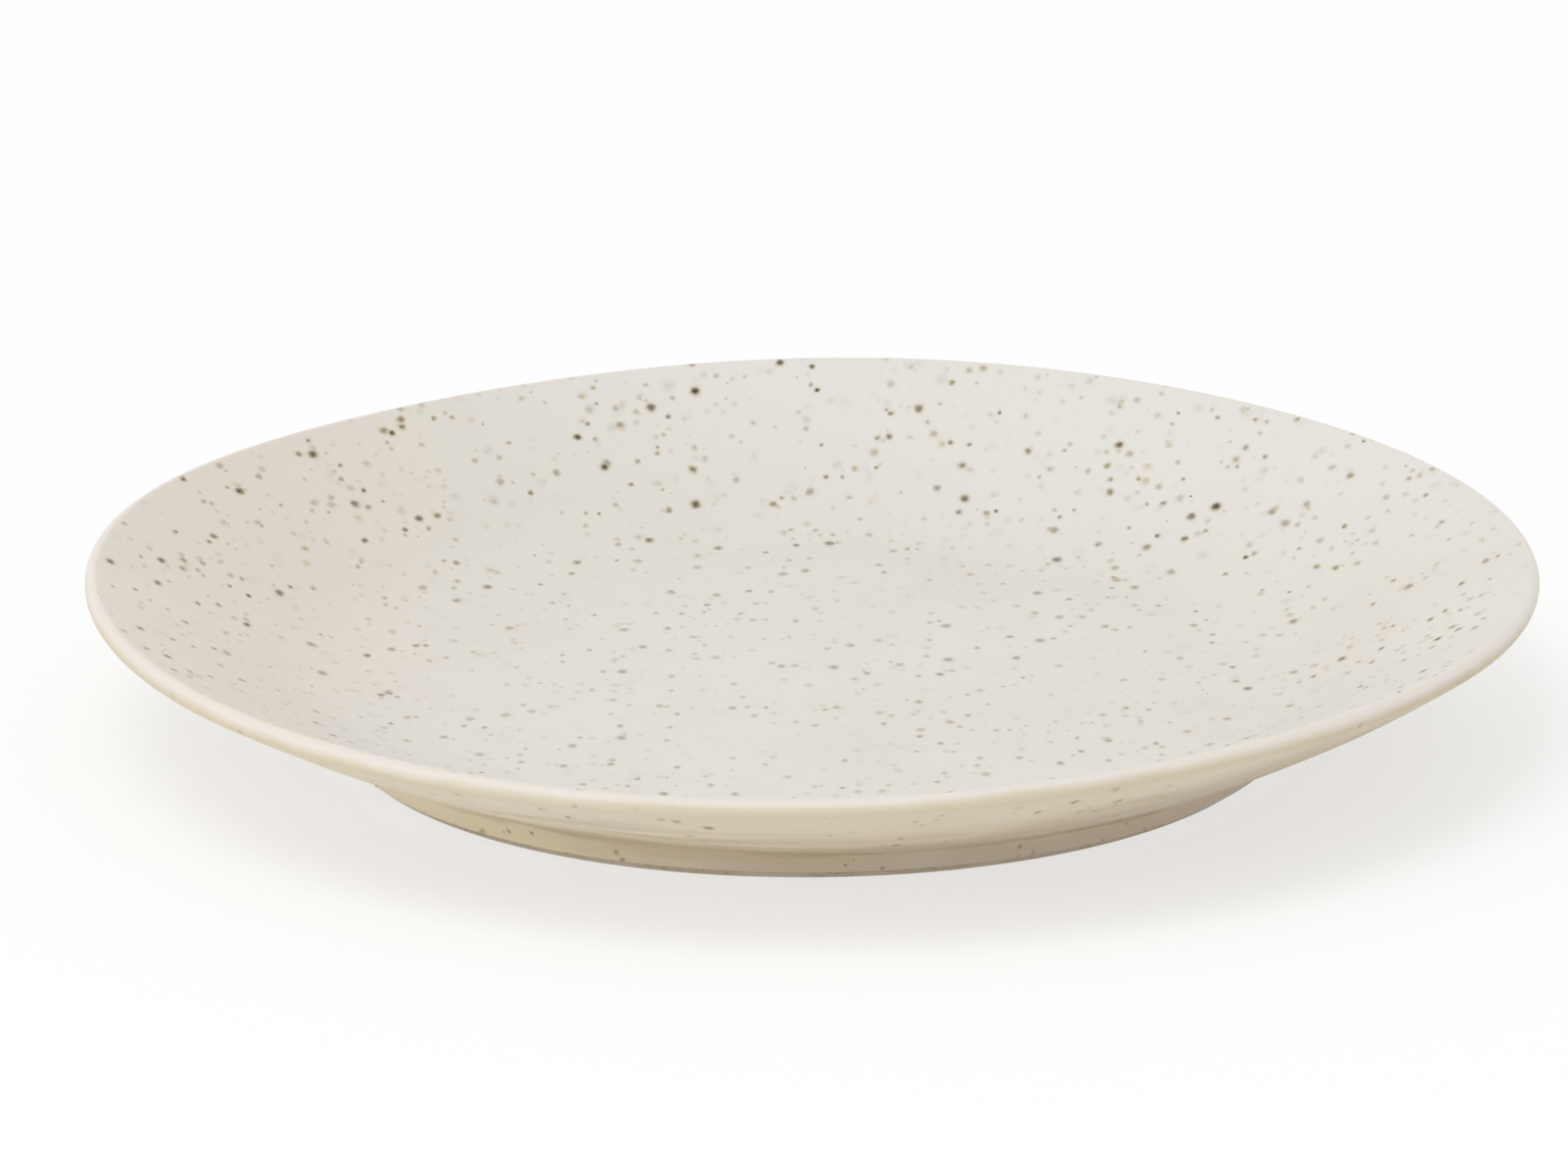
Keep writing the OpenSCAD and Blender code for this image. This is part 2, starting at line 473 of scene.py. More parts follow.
@dataclass
class TurnedPiece:
    """Builds a closed mesh from stretches of half section turned about the axis.

    Attributes:
        name: Name of the piece.
        form: The plate's form.
        stretches: Stretches in order, each starting where the last one ends.
        capped: Whether discs fill the first ring from above and the last one from below.
    """

    name: str
    form: PlateForm
    stretches: list[Stretch]
    capped: bool = True

    def build(self) -> bpy.types.Object:
        """Builds the mesh, its flat map and its crest distances.

        Returns:
            The new object, linked to the scene.
        """
        rings, layouts, creases = self.lay_rings()
        reach = self.map_reach(rings)
        spokes = self.form.spokes
        points = np.concatenate([rings[..., :1] * spokes, rings[..., 1:]], axis=-1).reshape(-1, 3)
        flat = (reach[:, None, None] * spokes).reshape(-1, 2)
        faces = self.strip_faces(len(rings))
        maps = np.repeat([layout.value for layout in layouts], len(spokes), axis=0)
        # A disc fills each end, turned over at the last ring so that it faces down
        for end, winding in ((0, 1), (-1, -1)) if self.capped else ():
            disc, grid = self.fill(len(points), end % len(rings) * len(spokes))
            radius, height = rings[end, 0]
            points = np.concatenate([points, np.insert(disc * radius, 2, height, axis=1)])
            flat = np.concatenate([flat, disc * reach[end]])
            faces = np.concatenate([faces, grid[:, ::winding]])
            maps = np.concatenate([maps, np.tile(layouts[end].value, (len(grid), 1))])
        mesh = bpy.data.meshes.new(self.name)
        mesh.from_pydata((self.form.settle(points) * MM).tolist(), [], faces.tolist())
        mesh.polygons.foreach_set("use_smooth", [True] * len(faces))
        spots = maps[:, None, :2] + flat[faces] * maps[:, None, 2:]
        mesh.uv_layers.new(name="OFBake").data.foreach_set("uv", spots.ravel())
        self.crease(mesh, creases)
        self.mark_crest(mesh, points)
        mesh.validate()
        piece = bpy.data.objects.new(self.name, mesh)
        bpy.context.scene.collection.objects.link(piece)
        return piece

    def lay_rings(self) -> tuple[np.ndarray, list[Layout], list[int]]:
        """Joins the stretches into rings.

        Returns:
            Rings with shape (count, azimuths, 2), the layout of the strip after each, and creased rings.
        """
        rings, layouts, creases = [], [], []
        for stretch in self.stretches:
            everywhere = (self.form.segments,) + stretch.path.shape[-2:]
            path = np.broadcast_to(stretch.path, everywhere).swapaxes(0, 1)
            joined = bool(rings) and np.allclose(path[0], rings[-1])
            if rings and not joined:
                layouts.append(Layout.HIDDEN)
            creases.append(len(rings) - joined)
            rings.extend(path[int(joined):])
            layouts.extend([stretch.layout] * (len(path) - 1))
            creases.append(len(rings) - 1)
        if not self.capped:
            layouts.append(Layout.HIDDEN)
        return np.array(rings), layouts, creases

    def strip_faces(self, count: int) -> np.ndarray:
        """Four-sided faces between neighbouring rings, and from last to first where no discs fill them.

        Args:
            count: How many rings.

        Returns:
            Faces as vertex numbers with shape (n, 4), outward side out.
        """
        numbers = np.arange(count * self.form.segments).reshape(count, -1)
        strips = count - 1 if self.capped else count
        here, there = numbers[:strips], np.roll(numbers, -1, axis=0)[:strips]
        corners = [here, there, np.roll(there, -1, axis=1), np.roll(here, -1, axis=1)]
        return np.stack(corners, axis=-1).reshape(-1, 4)

    def map_reach(self, rings: np.ndarray) -> np.ndarray:
        """Share of the flat map's radius at which each ring lies.

        Args:
            rings: Rings with shape (count, azimuths, 2).

        Returns:
            Shares from 0 to 1, one for each ring.
        """
        mean = rings.mean(axis=1)
        if self.capped:
            return mean[:, 0] / mean[:, 0].max()
        length = np.concatenate([[0], np.cumsum(np.linalg.norm(np.diff(mean, axis=0), axis=1))])
        fold = np.abs(length - length[np.argmin(mean[:, 1])])
        return (mean[:, 0].min() + fold) / (mean[:, 0].min() + fold.max())

    def fill(self, first: int, rim: int) -> tuple[np.ndarray, np.ndarray]:
        """Fills a circle of radius 1 with an even grid of four-sided faces.

        Args:
            first: Number of the first new vertex.
            rim: Number of the first vertex on the circle.

        Returns:
            New points inside the circle, and upward faces as vertex numbers with shape (n, 4).
        """
        around = self.form.segments
        ticks = np.linspace(-1, 1, around // 4 + 1)
        a, b = np.meshgrid(ticks, ticks, indexing="ij")
        wide = np.abs(a) > np.abs(b)
        reach = np.where(wide, a, b)
        safe = np.where(reach == 0, 1, reach)
        turn = np.where(wide, math.pi / 4 * b / safe, math.pi / 2 - math.pi / 4 * a / safe)
        grid = reach[..., None] * unit(turn)
        azimuth = np.arctan2(grid[..., 1], grid[..., 0])
        numbers = rim + np.round((azimuth - GRID_CORNER) * around / (2 * math.pi)).astype(int) % around
        inner = np.zeros(a.shape, bool)
        inner[1:-1, 1:-1] = True
        numbers[inner] = first + np.arange(inner.sum())
        corners = [numbers[:-1, :-1], numbers[1:, :-1], numbers[1:, 1:], numbers[:-1, 1:]]
        return grid[inner], np.stack(corners, axis=-1).reshape(-1, 4)

    def crease(self, mesh: bpy.types.Mesh, creases: list[int]) -> None:
        """Marks the rings where a smooth stretch ends as sharp edges.

        Args:
            mesh: The piece's mesh.
            creases: Numbers of the creased rings.
        """
        ends = np.zeros(len(mesh.edges) * 2, int)
        mesh.edges.foreach_get("vertices", ends)
        ring = ends.reshape(-1, 2) // self.form.segments
        sharp = (ring[:, 0] == ring[:, 1]) & np.isin(ring[:, 0], creases)
        mesh.attributes.new("sharp_edge", "BOOLEAN", "EDGE").data.foreach_set("value", sharp)

    def mark_crest(self, mesh: bpy.types.Mesh, points: np.ndarray) -> None:
        """Stores how far each point lies from the lip's crest, in millimetres.

        Args:
            mesh: The piece's mesh.
            points: Points of the true turned form.
        """
        radius = np.hypot(points[:, 0], points[:, 1])
        away = np.hypot(radius - self.form.lip_c[0], points[:, 2] - self.form.rim_h)
        mesh.attributes.new(FROM_CREST, "FLOAT", "POINT").data.foreach_set("value", away)


class Mixed(Enum):
    """What a mix node mixes: its name for it, the number of its first input, and that of its output."""

    COLOURS = ("RGBA", 6, 2)
    VALUES = ("FLOAT", 2, 0)


# Vector operations that give a single value
MEASURES = ("DOT_PRODUCT", "LENGTH")

# Rays by which the floor and the surround are seen
SEEN_RAYS = ("Is Camera Ray", "Is Glossy Ray", "Is Transmission Ray")


class Graph:
    """Short ways to add and join nodes in a shader tree or a node group."""

    def __init__(self, tree: bpy.types.NodeTree) -> None:
        """Keeps the tree that nodes go into."""
        self.tree = tree

    def node(self, kind: str, inputs: Inputs | None = None, **settings: object) -> bpy.types.Node:
        """Adds a node, sets its properties and feeds its inputs.

        Args:
            kind: Type name of the node without its prefix.
            inputs: Values or sockets by the name or number of the input.
            **settings: Properties of the node.

        Returns:
            The new node.
        """
        made = self.tree.nodes.new("ShaderNode" + kind)
        for name, value in settings.items():
            setattr(made, name, value)
        self.feed(made, inputs or {})
        return made

    def feed(self, node: bpy.types.Node, inputs: Inputs) -> None:
        """Links a node's inputs to other sockets, or sets their own values.

        Args:
            node: The node.
            inputs: Values or sockets by the name or number of the input.
        """
        for name, value in inputs.items():
            if isinstance(value, Socket):
                self.tree.links.new(value, node.inputs[name])
            else:
                node.inputs[name].default_value = value

    def math(self, operation: str, first: Given, *others: Given) -> Socket:
        """Works on values in turn, from the first to the last.

        Args:
            operation: Name of the operation.
            first: First value or socket.
            *others: The values or sockets after it.

        Returns:
            The result's socket.
        """
        for other in others or (0.0,):
            first = self.node("Math", {0: first, 1: other}, operation=operation).outputs[0]
        return first

    def vector(self, operation: str, *given: Given) -> Socket:
        """Works on places or directions, given in the order that the operation takes them."""
        made = self.node("VectorMath", dict(enumerate(given)), operation=operation)
        return made.outputs["Value" if operation in MEASURES else "Vector"]

    def ramp(self, value: Given, start: Given, end: Given, low: Given = 0.0, high: Given = 1.0) -> Socket:
        """Maps a value smoothly from the range of start to end to that of low to high."""
        inputs = dict(enumerate((value, start, end, low, high)))
        return self.node("MapRange", inputs, interpolation_type="SMOOTHSTEP").outputs[0]

    def mix(self, share: Given, first: Given, second: Given, mixed: Mixed = Mixed.COLOURS) -> Socket:
        """Mixes two colours or two values.

        Args:
            share: Share of the second one.
            first: First one or its socket.
            second: Second one or its socket.
            mixed: Whether they are colours or values.

        Returns:
            The result's socket.
        """
        kind, number, result = mixed.value
        inputs = {0: share, number: first, number + 1: second}
        return self.node("Mix", inputs, data_type=kind).outputs[result]

    def noise(self, place: Socket, size: float, detail: float = 2.0, rough: float = 0.5,
              output: str = "Fac") -> Socket:
        """Adds soft noise about 0.5, with features of a size in millimetres and finer ones in them."""
        inputs = {"Vector": place, "Scale": 1 / size, "Detail": detail, "Roughness": rough}
        return self.node("TexNoise", inputs).outputs[output]

    def spread(self, place: Socket, size: float, height: Given, detail: float = 2.0) -> Socket:
        """Adds noise about zero, of a height from end to end, with features of a size in millimetres."""
        return self.math("MULTIPLY", self.math("SUBTRACT", self.noise(place, size, detail), 0.5), height)

    def place(self) -> Socket:
        """Place on the object in millimetres."""
        return self.vector("MULTIPLY", self.node("TexCoord").outputs["Object"], (1 / MM,) * 3)

    def from_crest(self) -> Socket:
        """Distance from the lip's crest in millimetres."""
        return self.node("Attribute", attribute_name=FROM_CREST).outputs["Fac"]

    def seen_ray(self) -> Socket:
        """Whether a ray comes from the camera, a reflection or clear glass."""
        paths = self.node("LightPath").outputs
        return self.math("MAXIMUM", *(paths[name] for name in SEEN_RAYS))

    def bump(self, height: Socket) -> Socket:
        """Normal of small relief with a height in millimetres."""
        return self.node("Bump", {"Distance": MM, "Height": height}).outputs["Normal"]


def level_direction(azimuth: float) -> Direction:
    """Level direction at an azimuth in degrees, counter-clockwise from +X."""
    return math.cos(math.radians(azimuth)), math.sin(math.radians(azimuth)), 0.0


UP = (0.0, 0.0, 1.0)
DOWN = (0.0, 0.0, -1.0)
LEVEL = (1.0, 1.0, 0.0)


# Type of socket for each kind of value that goes into a node group or comes out of it
SOCKETS = {float: "NodeSocketFloat", Colour: "NodeSocketColor", Direction: "NodeSocketVector"}


class Effect:
    """A node group that several finishes share, with the fields of a dataclass as its values.

    Attributes:
        NAME: Name of the group.
        LINKS: Kinds of the further inputs, which other nodes feed.
        OUTPUTS: Kinds of the outputs.
    """

    NAME: str
    LINKS: dict[str, type] = {"colour": Colour}
    OUTPUTS: dict[str, type] = {"colour": Colour}

    @classmethod
    def wire(cls, graph: Graph, given: bpy.types.NodeOutputs) -> dict[str, Socket]:
        """Joins the group's nodes in its graph, from its inputs to a socket for each of its outputs."""
        raise NotImplementedError

    @classmethod
    def tree(cls) -> bpy.types.NodeTree:
        """Finds the group, or builds it the first time.

        Returns:
            The group's node tree.
        """
        if cls.NAME in bpy.data.node_groups:
            return bpy.data.node_groups[cls.NAME]
        tree = bpy.data.node_groups.new(cls.NAME, "ShaderNodeTree")
        inputs = {value.name: value.type for value in fields(cls)} | cls.LINKS
        for side, sockets in (("INPUT", inputs), ("OUTPUT", cls.OUTPUTS)):
            for name, kind in sockets.items():
                tree.interface.new_socket(name, in_out=side, socket_type=SOCKETS[kind])
        graph = Graph(tree)
        given = tree.nodes.new("NodeGroupInput")
        out = tree.nodes.new("NodeGroupOutput")
        graph.feed(out, cls.wire(graph, given.outputs))
        return tree

    def lay(self, graph: Graph, **links: Given) -> bpy.types.NodeOutputs:
        """Places the group in a material, with sockets or values for its further inputs."""
        return graph.node("Group", vars(self) | links, node_tree=self.tree()).outputs

    def over(self, graph: Graph, colour: Given) -> Socket:
        """Lays the effect over a colour or its socket."""
        return self.lay(graph, colour=colour)["colour"]


@dataclass(frozen=True)
class IronSpecks(Effect):
    """One layer of round iron grains, scattered through the glaze in loose clusters.

    Attributes:
        spacing: Usual distance between grains within the glaze, in millimetres.
        smallest: Smallest radius in millimetres.
        largest: Largest radius in millimetres.
        edge: Softness of the edge as a share of the radius.
        clusters: How strongly the grains keep to clusters, from 0 to 1.
        shift: Offset that keeps layers apart, in millimetres.
        core: Colour of the grains.
        strength: Strength of their colour, from 0 to 1.
        halo: Colour that bleeds round them.
        bleed: Strength of the bleeding, from 0 to 1.
    """

    NAME = "iron_specks"
    LINKS = {"colour": Colour, "place": Direction, "shown": float}
    OUTPUTS = {"colour": Colour, "grains": float}
    # Unevenness of the grains' outlines: its size and its depth in millimetres
    WOBBLE_SIZE = 0.625
    WOBBLE = (0.35, 0.35, 0.35)
    # Power that makes large grains rare, the least radius in millimetres, and the faintest strength
    RARITY = 1.8
    LEAST = 0.004
    FAINTEST = 0.45
    # Size of the clusters in millimetres, how far grains stray from them, and the ends of their edges
    CLUSTER_SIZE = 7.0
    STRAYING = 0.3
    CLUSTER_EDGE = (0.56, 0.7)
    # Where a halo ends and where it is full, in radii of its grain
    HALO_EDGE = (2.4, 0.8)

    spacing: float
    smallest: float
    largest: float
    edge: float
    clusters: float
    shift: float
    core: Colour
    strength: float
    halo: Colour
    bleed: float

    @classmethod
    def wire(cls, graph: Graph, given: bpy.types.NodeOutputs) -> dict[str, Socket]:
        """Cuts grains of random size and strength out of cells in space, with soft rims and halos.

        Args:
            graph: The group's graph.
            given: The group's inputs.

        Returns:
            The colour with the grains, and a mask of the grains.
        """
        place = graph.vector("ADD", given["place"], given["shift"])
        wobble = graph.noise(place, cls.WOBBLE_SIZE, detail=1.0, output="Color")
        uneven = graph.vector("MULTIPLY_ADD", wobble, cls.WOBBLE, place)
        scale = graph.math("DIVIDE", 1.0, given["spacing"])
        cells = graph.node("TexVoronoi", {"Vector": uneven, "Scale": scale}, voronoi_dimensions="3D",
                           feature="F1", distance="EUCLIDEAN").outputs
        away = graph.math("MULTIPLY", cells["Distance"], given["spacing"])
        growth, stray, force = graph.node("SeparateColor", {0: cells["Color"]}).outputs
        growth = graph.math("POWER", growth, cls.RARITY)
        radius = graph.mix(growth, given["smallest"], given["largest"], Mixed.VALUES)
        stray = graph.math("MULTIPLY", stray, cls.STRAYING)
        crowd = graph.math("ADD", graph.noise(place, cls.CLUSTER_SIZE), stray)
        crowd = graph.mix(given["clusters"], 1.0, graph.ramp(crowd, *cls.CLUSTER_EDGE), Mixed.VALUES)
        size = graph.math("MAXIMUM", graph.math("MULTIPLY", radius, crowd), cls.LEAST)
        soft = graph.math("MULTIPLY", size, given["edge"])
        grains = graph.ramp(away, graph.math("ADD", size, soft), graph.math("SUBTRACT", size, soft))
        halo = graph.ramp(away, *(graph.math("MULTIPLY", size, end) for end in cls.HALO_EDGE))
        force = graph.math("MULTIPLY", given["shown"], graph.ramp(force, 0.0, 1.0, cls.FAINTEST, 1.0))
        bleed = graph.math("MULTIPLY", halo, force, given["bleed"])
        solid = graph.math("MULTIPLY", grains, force, given["strength"])
        colour = graph.mix(bleed, given["colour"], given["halo"])
        return {"colour": graph.mix(solid, colour, given["core"]), "grains": grains}


IRON = linear(56, 46, 22)
RUST = linear(110, 96, 62)
OCHRE = linear(198, 181, 140)
SLATE = linear(150, 150, 146)

# Largest specks first, since they are laid over the others
FACE_SPECKS = (
    IronSpecks(2.4, 0.25, 0.48, 0.6, 0.85, 0.0, IRON, 1.0, OCHRE, 0.65),
    IronSpecks(2.1, 0.2, 0.41, 0.7, 0.75, 37.0, RUST, 0.85, OCHRE, 0.5),
    IronSpecks(1.8, 0.18, 0.38, 0.85, 0.7, 83.0, RUST, 0.4, OCHRE, 0.28),
    IronSpecks(2.7, 0.3, 0.6, 0.95, 0.8, 131.0, SLATE, 0.24, SLATE, 0.06),
)
OUTER_SPECKS = (
    IronSpecks(2.0, 0.18, 0.38, 0.7, 0.7, 0.0, IRON, 0.8, OCHRE, 0.35),
    IronSpecks(1.75, 0.14, 0.32, 0.8, 0.6, 37.0, RUST, 0.7, OCHRE, 0.3),
)


@dataclass(frozen=True)
class GlazeGround(Effect):
    """Ground colour of a glaze that drifts slowly between thin and thick places.

    Attributes:
        plain: Colour of the glaze.
        thin: Colour that it drifts to where it is thin.
        thick: Colour that it drifts to where it is thick.
    """

    NAME = "glaze_ground"
    LINKS = {}
    # Sizes in millimetres of the slow drift and of the fine one over it, and the fine one's share
    SLOW_SIZE = 34.0
    FINE_SIZE = 2.6
    FINE_SHARE = 0.25
    # Where thin and thick places start and where they are full, about 0.5 on average
    THIN_EDGE = (0.52, 0.68)
    THICK_EDGE = (0.48, 0.34)

    plain: Colour
    thin: Colour
    thick: Colour

    @classmethod
    def wire(cls, graph: Graph, given: bpy.types.NodeOutputs) -> dict[str, Socket]:
        """Mixes the three colours by a slow drift with a fine one over it.

        Args:
            graph: The group's graph.
            given: The group's inputs.

        Returns:
            The glaze's colour.
        """
        place = graph.place()
        fine = graph.noise(place, cls.FINE_SIZE, detail=3.0, rough=0.6)
        drift = graph.mix(cls.FINE_SHARE, graph.noise(place, cls.SLOW_SIZE), fine, Mixed.VALUES)
        colour = graph.mix(graph.ramp(drift, *cls.THIN_EDGE), given["plain"], given["thin"])
        return {"colour": graph.mix(graph.ramp(drift, *cls.THICK_EDGE), colour, given["thick"])}


@dataclass(frozen=True)
class Drift(Effect):
    """Slow drift of a glaze's colour in one direction; on this plate the drifts mostly paint light and
    shade.

    Attributes:
        heading: Direction of length 1.
        start: Distance along the heading at which the drift starts, in millimetres.
        end: Distance along the heading at which it is full, in millimetres.
        spread: How uneven its front is, in millimetres.
        tint: Colour of the glaze beyond it.
    """

    NAME = "side_drift"
    # Size in millimetres of the front's unevenness
    FRONT_SIZE = 16.0

    heading: Direction
    start: float
    end: float
    spread: float
    tint: Colour

    @classmethod
    def wire(cls, graph: Graph, given: bpy.types.NodeOutputs) -> dict[str, Socket]:
        """Mixes in the tint by the distance along the heading, with an uneven front.

        Args:
            graph: The group's graph.
            given: The group's inputs.

        Returns:
            The drifted colour.
        """
        place = graph.place()
        reach = graph.vector("DOT_PRODUCT", place, given["heading"])
        reach = graph.math("ADD", reach, graph.spread(place, cls.FRONT_SIZE, given["spread"]))
        share = graph.ramp(reach, given["start"], given["end"])
        return {"colour": graph.mix(share, given["colour"], given["tint"])}


@dataclass(frozen=True)
class LipBandAndHighlight(Effect):
    """Paler band on the lip, partly thicker glaze and partly a painted highlight, with a width of its own
    at one side of the plate.

    Attributes:
        tint: Colour of the band.
        heading: Direction of that side.
        there: Width from the crest at that side, in millimetres.
        elsewhere: Width from the crest on the rest of the rim, below zero where it has no band.
    """

    NAME = "lip_band_and_highlight"
    # Size and height of the edge's unevenness, and half of its softness, in millimetres
    EDGE_SIZE = 7.0
    EDGE_SPREAD = 0.6
    EDGE_SOFTNESS = 0.5
    # Distances along the heading between which the band takes on its width there, in millimetres
    SIDE = (60.0, 74.0)

    tint: Colour
    heading: Direction
    there: float
    elsewhere: float

    @classmethod
    def wire(cls, graph: Graph, given: bpy.types.NodeOutputs) -> dict[str, Socket]:
        """Mixes in the tint by the distance from the crest, with a soft uneven edge.

        Args:
            graph: The group's graph.
            given: The group's inputs.

        Returns:
            The colour with the band.
        """
        place = graph.place()
        away = graph.math("ADD", graph.from_crest(), graph.spread(place, cls.EDGE_SIZE, cls.EDGE_SPREAD))
        reach = graph.vector("DOT_PRODUCT", place, given["heading"])
        width = graph.ramp(reach, *cls.SIDE, given["elsewhere"], given["there"])
        ends = (graph.math(way, width, cls.EDGE_SOFTNESS) for way in ("ADD", "SUBTRACT"))
        return {"colour": graph.mix(graph.ramp(away, *ends), given["colour"], given["tint"])}


@dataclass(frozen=True)
class GlazeSkin(Effect):
    """Satin skin of a glaze: clouded gloss, faint orange peel and a pit at each large speck.

    Attributes:
        roughness: Roughness of the plain glaze.
    """

    NAME = "glaze_skin"
    LINKS = {"pits": float}
    OUTPUTS = {"roughness": float, "height": float}
    # Size of the clouds in millimetres, and how far they change the roughness
    CLOUD_SIZE = 9.0
    CLOUDING = 0.2
    # Size and height of the peel, and depth of the pits, in millimetres
    PEEL_SIZE = 1.4
    PEEL = 0.012
    PIT_DEPTH = 0.03

    roughness: float

    @classmethod
    def wire(cls, graph: Graph, given: bpy.types.NodeOutputs) -> dict[str, Socket]:
        """Adds clouds to the roughness, and peel and pits to the height.

        Args:
            graph: The group's graph.
            given: The group's inputs.

        Returns:
            The roughness, and the height in millimetres.
        """
        place = graph.place()
        clouds = graph.spread(place, cls.CLOUD_SIZE, cls.CLOUDING, detail=3.0)
        peel = graph.spread(place, cls.PEEL_SIZE, cls.PEEL)
        pits = graph.math("MULTIPLY", given["pits"], cls.PIT_DEPTH)
        return {"roughness": graph.math("ADD", given["roughness"], clouds),
                "height": graph.math("SUBTRACT", peel, pits)}


@dataclass(frozen=True)
class DipLine:
    """The line low on the foot below which the glaze ran thin, with streaks on the wall above it.

    Attributes:
        height: Height of the line on average, in millimetres.
        pale: Colour of the thin glaze on the foot's left side, lighter than the wall's glaze as painted
            light.
        right_shade: Painted shade that darkens that colour towards the right.
        base: Drift of the thin glaze next to the bare clay, with painted shade that darkens it towards
            the right.
        streak: Colour of the streaks.
    """

    # Stretch that lays noise flat in long bands
    FLAT = (1.0, 1.0, 12.0)
    # Sizes, heights and fineness of the noise in the streaks and of the bands in the line
    STREAK_NOISE = (34.0, 2.0, 3.0)
    BAND_NOISE = (8.0, 2.0, 3.0)
    # Sizes and heights in millimetres of the slow noise in the streaks' upper end and in the line
    STREAK_SPREAD = (18.0, 12.0)
    LINE_SPREAD = (15.0, 2.2)
    # Heights in millimetres where streaks start and where they are full, their edges, and their strength
    STREAK_START = (14.0, 9.5)
    STREAK_EDGE = (0.24, 0.04)
    STREAK_STRENGTH = 0.5
    # Half of the line's softness, and how far below it the base starts and is full, in millimetres
    LINE_SOFTNESS = 0.45
    BASE_START = 0.6
    BASE_FULL = 2.0

    height: float
    pale: Colour
    right_shade: Drift
    base: Drift
    streak: Colour

    def over(self, graph: Graph, colour: Socket) -> Socket:
        """Lays the thin glaze and its streaks over a colour.

        Args:
            graph: The material's graph.
            colour: Colour above the line.

        Returns:
            The colour's socket.
        """
        place = graph.place()
        height = graph.vector("DOT_PRODUCT", place, UP)
        flat = graph.vector("MULTIPLY", place, self.FLAT)
        low = graph.math("ADD", height, graph.spread(place, *self.STREAK_SPREAD))
        contour = graph.math("ABSOLUTE", graph.spread(flat, *self.STREAK_NOISE))
        streaks = graph.math("MULTIPLY", graph.ramp(low, *self.STREAK_START),
                             graph.ramp(contour, *self.STREAK_EDGE, 0.0, self.STREAK_STRENGTH))
        colour = graph.mix(streaks, colour, self.streak)
        wavy = graph.math("ADD", height, graph.spread(flat, *self.BAND_NOISE),
                          graph.spread(place, *self.LINE_SPREAD))
        base = graph.ramp(wavy, self.height - self.BASE_START, self.height - self.BASE_FULL)
        thin = graph.mix(base, self.right_shade.over(graph, self.pale), self.base.over(graph, self.pale))
        below = graph.ramp(wavy, self.height + self.LINE_SOFTNESS, self.height - self.LINE_SOFTNESS)
        return graph.mix(below, colour, thin)


def new_material(name: str) -> tuple[bpy.types.Material, Graph, bpy.types.Node]:
    """Adds a material with nodes.

    Args:
        name: Name of the material.

    Returns:
        The material, its graph and its shader.
    """
    material = bpy.data.materials.new(name)
    material.use_nodes = True
    return material, Graph(material.node_tree), material.node_tree.nodes["Principled BSDF"]


@dataclass(frozen=True)
class GlazeFinish:
    """A satin glaze with iron specks over a mottled ground.

    Attributes:
        name: Name of the material.
        ground: Colours of the glaze.
        specks: Layers of specks, from the largest to the smallest.
        skin: Skin of the glaze.
        gloss: Strength of its reflections, where 0.5 is that of glass.
        drifts: Drifts of the colour over the plate, mostly painted light and shade.
        lip: The paler band on the lip, if the glaze reaches it.
        dip: Line below which the glaze is thin, if it has one.
        veil: Share of the specks' strength that pooled glaze leaves in the well.
        runs: Whether the specks are drawn out down the outer wall.
        drawn: How much longer the specks are along Y than along X, if they don't run.
    """

    # Radii in millimetres where the veil over the well is full and where it ends
    VEIL_EDGE = (36.0, 58.0)
    # Distances from the crest where specks that run start and where they are full, in millimetres
    RUN_START = (1.0, 2.8)
    # Radius in millimetres of the upright drum on which specks that run are round
    DRUM_R = 56.0

    name: str
    ground: GlazeGround
    specks: tuple[IronSpecks, ...]
    skin: GlazeSkin
    gloss: float = 0.5
    drifts: tuple[Drift, ...] = ()
    lip: LipBandAndHighlight | None = None
    dip: DipLine | None = None
    veil: float = 1.0
    runs: bool = False
    drawn: float = 1.0

    def make(self) -> bpy.types.Material:
        """Builds the material.

        Returns:
            The new material.
        """
        material, graph, shader = new_material(self.name)
        colour = self.ground.lay(graph)["colour"]
        for layer in (*self.drifts, self.lip, self.dip):
            colour = layer.over(graph, colour) if layer else colour
        place, shown = self.speck_field(graph)
        for layer in reversed(self.specks):
            specked = layer.lay(graph, colour=colour, place=place, shown=shown)
            colour = specked["colour"]
        skin = self.skin.lay(graph, pits=specked["grains"])
        graph.feed(shader, {"Base Color": colour, "Roughness": skin["roughness"],
                            "Specular IOR Level": self.gloss, "Normal": graph.bump(skin["height"])})
        return material

    def speck_field(self, graph: Graph) -> tuple[Socket, Socket]:
        """Finds where the specks lie.

        Args:
            graph: The material's graph.

        Returns:
            Place in which the specks are round, and how strongly they show there.
        """
        place = graph.place()
        level = graph.vector("MULTIPLY", place, LEVEL)
        if self.runs:
            around, height = graph.vector("NORMALIZE", level), graph.vector("MULTIPLY", place, UP)
            drum = graph.vector("MULTIPLY_ADD", around, (self.DRUM_R,) * 3, height)
            return drum, graph.ramp(graph.from_crest(), *self.RUN_START)
        drawn = graph.vector("MULTIPLY", place, (1.0, 1 / self.drawn, 1.0))
        return drawn, graph.ramp(graph.vector("LENGTH", level), *self.VEIL_EDGE, self.veil, 1.0)


